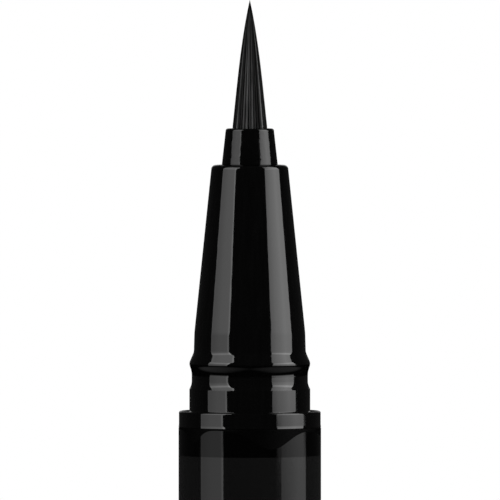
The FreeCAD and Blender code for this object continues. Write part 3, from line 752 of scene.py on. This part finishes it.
def light_panel(stage, name, edges, across, upward):
    """A tall curved light panel with its own edges and a strength that follows stops across and upward."""
    places = []
    shares = []
    faces = []
    for high, inner, outer in edges:
        for column in range(PANEL_STEPS + 1):
            wide = column / PANEL_STEPS
            azimuth = inner + (outer - inner) * wide
            places.append(polar(azimuth, stage.panel_distance, stage.panel_height * high))
            shares.append(wide)
    for row in range(len(edges) - 1):
        for column in range(PANEL_STEPS):
            corner = row * (PANEL_STEPS + 1) + column
            faces.append((corner, corner + 1, corner + PANEL_STEPS + 2, corner + PANEL_STEPS + 1))
    mesh = bpy.data.meshes.new(name)
    mesh.from_pydata(places, [], faces)
    mesh.attributes.new("across", "FLOAT", "POINT").data.foreach_set("value", shares)
    panel = bpy.data.objects.new(name, mesh)
    bpy.context.collection.objects.link(panel)
    # Woven nylon, stretched over lamps: a soft glow without hot spots, stronger in some parts than in others
    material, tree, shader = new_material(f"woven diffuser of {name}")
    place = add_node(tree, "ShaderNodeAttribute", attribute_name="across")
    where = add_node(tree, "ShaderNodeNewGeometry")
    axes = add_node(tree, "ShaderNodeSeparateXYZ", {"Vector": where.outputs["Position"]})
    rise = add_node(tree, "ShaderNodeMath", {0: axes.outputs["Z"]}, operation="DIVIDE")
    rise.inputs[1].default_value = stage.panel_height
    side_ramp = add_node(tree, "ShaderNodeValToRGB", {"Fac": place.outputs["Fac"]})
    rise_ramp = add_node(tree, "ShaderNodeValToRGB", {"Fac": rise.outputs["Value"]})
    strongest = 1.0
    for ramp, stops in ((side_ramp, across), (rise_ramp, upward)):
        top = max(value for share, value in stops)
        strongest *= top
        for share, value in stops[1:-1]:
            ramp.color_ramp.elements.new(share)
        for element, (share, value) in zip(ramp.color_ramp.elements, stops):
            element.position = share
            element.color = (value / top, value / top, value / top, 1.0)
    strength = add_node(tree, "ShaderNodeMath", {0: rise_ramp.outputs["Color"]}, operation="MULTIPLY")
    strength.inputs[1].default_value = strongest
    tree.links.new(side_ramp.outputs["Color"], shader.inputs["Emission Color"])
    tree.links.new(strength.outputs["Value"], shader.inputs["Emission Strength"])
    shader.inputs["Base Color"].default_value = (0, 0, 0, 1)
    shader.inputs["Specular IOR Level"].default_value = 0.0
    mesh.materials.append(material)
    panel.visible_camera = False


# Sides of the floor, the size of its stipple, how dark the paint is in it, and the white that the camera sees
# on top of the light that falls on it
FLOOR_SIDES = 128
STIPPLE = 1.5 * MM
STIPPLE_SHADE = 0.94
FLOOR_GLOW = 0.58

# The parts of the floor that glow for gloss alone, a painted reflection, by their distance from the pen's
# foot in metres. A pool lies round the foot. The flanks start by the way to the side, with a share of the
# distance added, and end by the distance. The rear starts by the share of the distance that goes straight
# back, and ends by the distance
POOL = {"From Min": 0.06, "From Max": 0.13, "To Min": 0.9, "To Max": 0.0}
FLANK_SHARE = -1.36
FLANK_START = {"From Min": -0.2, "From Max": -0.07, "To Max": 0.22}
FLANK_END = {"From Min": 0.25, "From Max": 0.34, "To Max": 0.0}
REAR_START = {"From Min": 0.6, "From Max": 0.85, "To Max": 0.8}
REAR_END = {"From Min": 0.22, "From Max": 0.3, "To Min": 1.0, "To Max": 0.0}


def painted_board(tones):
    """Board, painted with a roller: pale and dull, with a faint stipple. It is seen paler than it is lit.
    Gloss sees it black, apart from a painted glow close to the pen, beside it and behind it, that makes
    painted reflections on the pen."""
    material, tree, shader = new_material("roller-painted board")
    place = add_node(tree, "ShaderNodeTexCoord")
    noise = add_node(tree, "ShaderNodeTexNoise", {"Vector": place.outputs["Object"]}, Scale=1 / STIPPLE)
    path = add_node(tree, "ShaderNodeLightPath")
    axes = add_node(tree, "ShaderNodeSeparateXYZ", {"Vector": place.outputs["Object"]})
    reach = add_node(tree, "ShaderNodeVectorMath", {0: place.outputs["Object"]}, operation="LENGTH")
    distance = reach.outputs["Value"]
    pool = add_node(tree, "ShaderNodeMapRange", {"Value": distance}, **POOL)
    sideways = add_node(tree, "ShaderNodeMath", {0: axes.outputs["X"]}, operation="ABSOLUTE")
    flank = add_node(tree, "ShaderNodeMath", {0: distance, 2: sideways.outputs["Value"]},
                     operation="MULTIPLY_ADD")
    flank.inputs[1].default_value = FLANK_SHARE
    beside = add_node(tree, "ShaderNodeMapRange", {"Value": flank.outputs["Value"]}, **FLANK_START)
    sides = add_node(tree, "ShaderNodeMapRange", {"Value": distance, "To Min": beside.outputs["Result"]},
                     **FLANK_END)
    backward = add_node(tree, "ShaderNodeMath", {0: axes.outputs["Y"], 1: distance}, operation="DIVIDE")
    behind = add_node(tree, "ShaderNodeMapRange", {"Value": backward.outputs["Value"]}, **REAR_START)
    inside = add_node(tree, "ShaderNodeMapRange", {"Value": distance}, **REAR_END)
    rear = add_node(tree, "ShaderNodeMath", {0: behind.outputs["Result"], 1: inside.outputs["Result"]},
                    operation="MULTIPLY")
    close = add_node(tree, "ShaderNodeMath", {0: sides.outputs["Result"], 1: pool.outputs["Result"]},
                     operation="MAXIMUM")
    shown = add_node(tree, "ShaderNodeMath", {0: close.outputs["Value"], 1: rear.outputs["Value"]},
                     operation="MAXIMUM")
    # Painted reflection: the floor glows in these parts for glossy rays alone, and shows black to them
    # elsewhere
    painted_reflection_glow = add_node(tree, "ShaderNodeMath", {0: path.outputs["Is Glossy Ray"], 1: shown.outputs["Value"]},
                        operation="MULTIPLY")
    pale = add_node(tree, "ShaderNodeMath", {0: path.outputs["Is Camera Ray"], 2: painted_reflection_glow.outputs["Value"]},
                    operation="MULTIPLY_ADD")
    pale.inputs[1].default_value = FLOOR_GLOW
    paint = add_node(tree, "ShaderNodeMix", {"Factor": noise.outputs["Fac"]}, data_type="RGBA")
    darker = [channel * STIPPLE_SHADE for channel in tones.floor[:3]]
    paint.inputs[FIRST_COLOUR].default_value = tones.floor
    paint.inputs[SECOND_COLOUR].default_value = darker + [1.0]
    hidden = add_node(tree, "ShaderNodeMix",
                      {"Factor": path.outputs["Is Glossy Ray"], FIRST_COLOUR: paint.outputs[MIXED_COLOUR]},
                      data_type="RGBA")
    hidden.inputs[SECOND_COLOUR].default_value = (0, 0, 0, 1)
    tree.links.new(hidden.outputs[MIXED_COLOUR], shader.inputs["Base Color"])
    tree.links.new(pale.outputs["Value"], shader.inputs["Emission Strength"])
    shader.inputs["Emission Color"].default_value = (1, 1, 1, 1)
    shader.inputs["Roughness"].default_value = 0.9
    shader.inputs["Specular IOR Level"].default_value = 0.0
    return material


def lay_floor(stage, tones):
    """Lay a round floor under the pen."""
    mesh = bpy.data.meshes.new("floor")
    disc = bmesh.new()
    bmesh.ops.create_circle(disc, cap_ends=True, radius=stage.floor_radius, segments=FLOOR_SIDES)
    disc.to_mesh(mesh)
    disc.free()
    floor = bpy.data.objects.new("floor", mesh)
    bpy.context.collection.objects.link(floor)
    mesh.materials.append(painted_board(tones))


# Strength of the surroundings as dull surfaces are lit by them, and as the camera sees them
FILL_LIGHT = 0.4
WHITE = 1.0

# Gloss mirrors the surroundings dark, apart from a pale part straight behind the pen and above level. For a
# direction of length 1, the first goes by how far it rises and the second by how far it goes back
RAISED = {"From Min": 0.08, "From Max": 0.14, "To Min": 0.02, "To Max": 0.55}
STRAIGHT_BACK = {"From Min": 0.93, "From Max": 0.96, "To Min": 0.02}


def light_surroundings(scene):
    """Surroundings that the camera sees white, that light the pen dimly and that gloss mirrors darkly."""
    world = bpy.data.worlds.new("studio")
    scene.world = world
    world.use_nodes = True
    tree = world.node_tree
    tree.nodes.clear()
    path = add_node(tree, "ShaderNodeLightPath")
    around = add_node(tree, "ShaderNodeTexCoord")
    axes = add_node(tree, "ShaderNodeSeparateXYZ", {"Vector": around.outputs["Generated"]})
    raised = add_node(tree, "ShaderNodeMapRange", {"Value": axes.outputs["Z"]}, **RAISED)
    behind = add_node(tree, "ShaderNodeMapRange",
                      {"Value": axes.outputs["Y"], "To Max": raised.outputs["Result"]}, **STRAIGHT_BACK)
    shiny = add_node(tree, "ShaderNodeMath",
                     {0: path.outputs["Is Glossy Ray"], 1: path.outputs["Is Transmission Ray"]},
                     operation="MAXIMUM")
    dim = add_node(tree, "ShaderNodeMix", {"Factor": shiny.outputs["Value"], "B": behind.outputs["Result"]},
                   A=FILL_LIGHT)
    level = add_node(tree, "ShaderNodeMix",
                     {"Factor": path.outputs["Is Camera Ray"], "A": dim.outputs["Result"]}, B=WHITE)
    glow = add_node(tree, "ShaderNodeBackground", {"Strength": level.outputs["Result"]}, Color=(1, 1, 1, 1))
    add_node(tree, "ShaderNodeOutputWorld", {"Surface": glow.outputs["Background"]})


class EYELINER_OT_stage(bpy.types.Operator):
    """Set the camera, the light panels, the floor and the white surroundings"""
    bl_idname = "eyeliner.stage"
    bl_label = "Stage"

    def execute(self, context):
        scene = context.scene
        stage = scene.pen_stage
        scene.view_settings.view_transform = "Standard"
        set_camera(scene, stage)
        light_panel(stage, "left_panel", LEFT_EDGES, LEFT_ACROSS, LEFT_UPWARD)
        light_panel(stage, "right_panel", RIGHT_EDGES, RIGHT_ACROSS, RIGHT_UPWARD)
        lay_floor(stage, scene.pen_colours)
        light_surroundings(scene)
        return {"FINISHED"}


SETTINGS = {
    "pen_barrel": BarrelSizes,
    "pen_nose": NoseSizes,
    "pen_brush": BrushSizes,
    "pen_cap": CapSizes,
    "pen_colours": PenColours,
    "pen_stage": StageSettings,
}
OPERATORS = (
    EYELINER_OT_insides,
    EYELINER_OT_barrel,
    EYELINER_OT_nose,
    EYELINER_OT_brush,
    EYELINER_OT_cap,
    EYELINER_OT_stage,
)


class EYELINER_PT_pen(bpy.types.Panel):
    """The steps of the pen, with their sizes and colours below"""
    bl_idname = "EYELINER_PT_pen"
    bl_label = "Liquid Eyeliner Pen"
    bl_space_type = "VIEW_3D"
    bl_region_type = "UI"
    bl_category = "Eyeliner"

    def draw(self, context):
        for operator in OPERATORS:
            self.layout.operator(operator.bl_idname)
        for name, group in SETTINGS.items():
            box = self.layout.box()
            box.label(text=name.replace("_", " ").capitalize())
            for setting in group.__annotations__:
                box.prop(getattr(context.scene, name), setting)


def register():
    for item in (*SETTINGS.values(), *OPERATORS, EYELINER_PT_pen):
        bpy.utils.register_class(item)
    for name, group in SETTINGS.items():
        setattr(bpy.types.Scene, name, PointerProperty(type=group))


def unregister():
    for name in SETTINGS:
        delattr(bpy.types.Scene, name)
    for item in (EYELINER_PT_pen, *reversed(OPERATORS), *SETTINGS.values()):
        bpy.utils.unregister_class(item)


def main():
    register()
    bpy.ops.eyeliner.insides()
    bpy.ops.eyeliner.barrel()
    bpy.ops.eyeliner.nose()
    bpy.ops.eyeliner.brush()
    bpy.ops.eyeliner.cap()
    bpy.ops.eyeliner.stage()


if __name__ == "__main__":
    main()
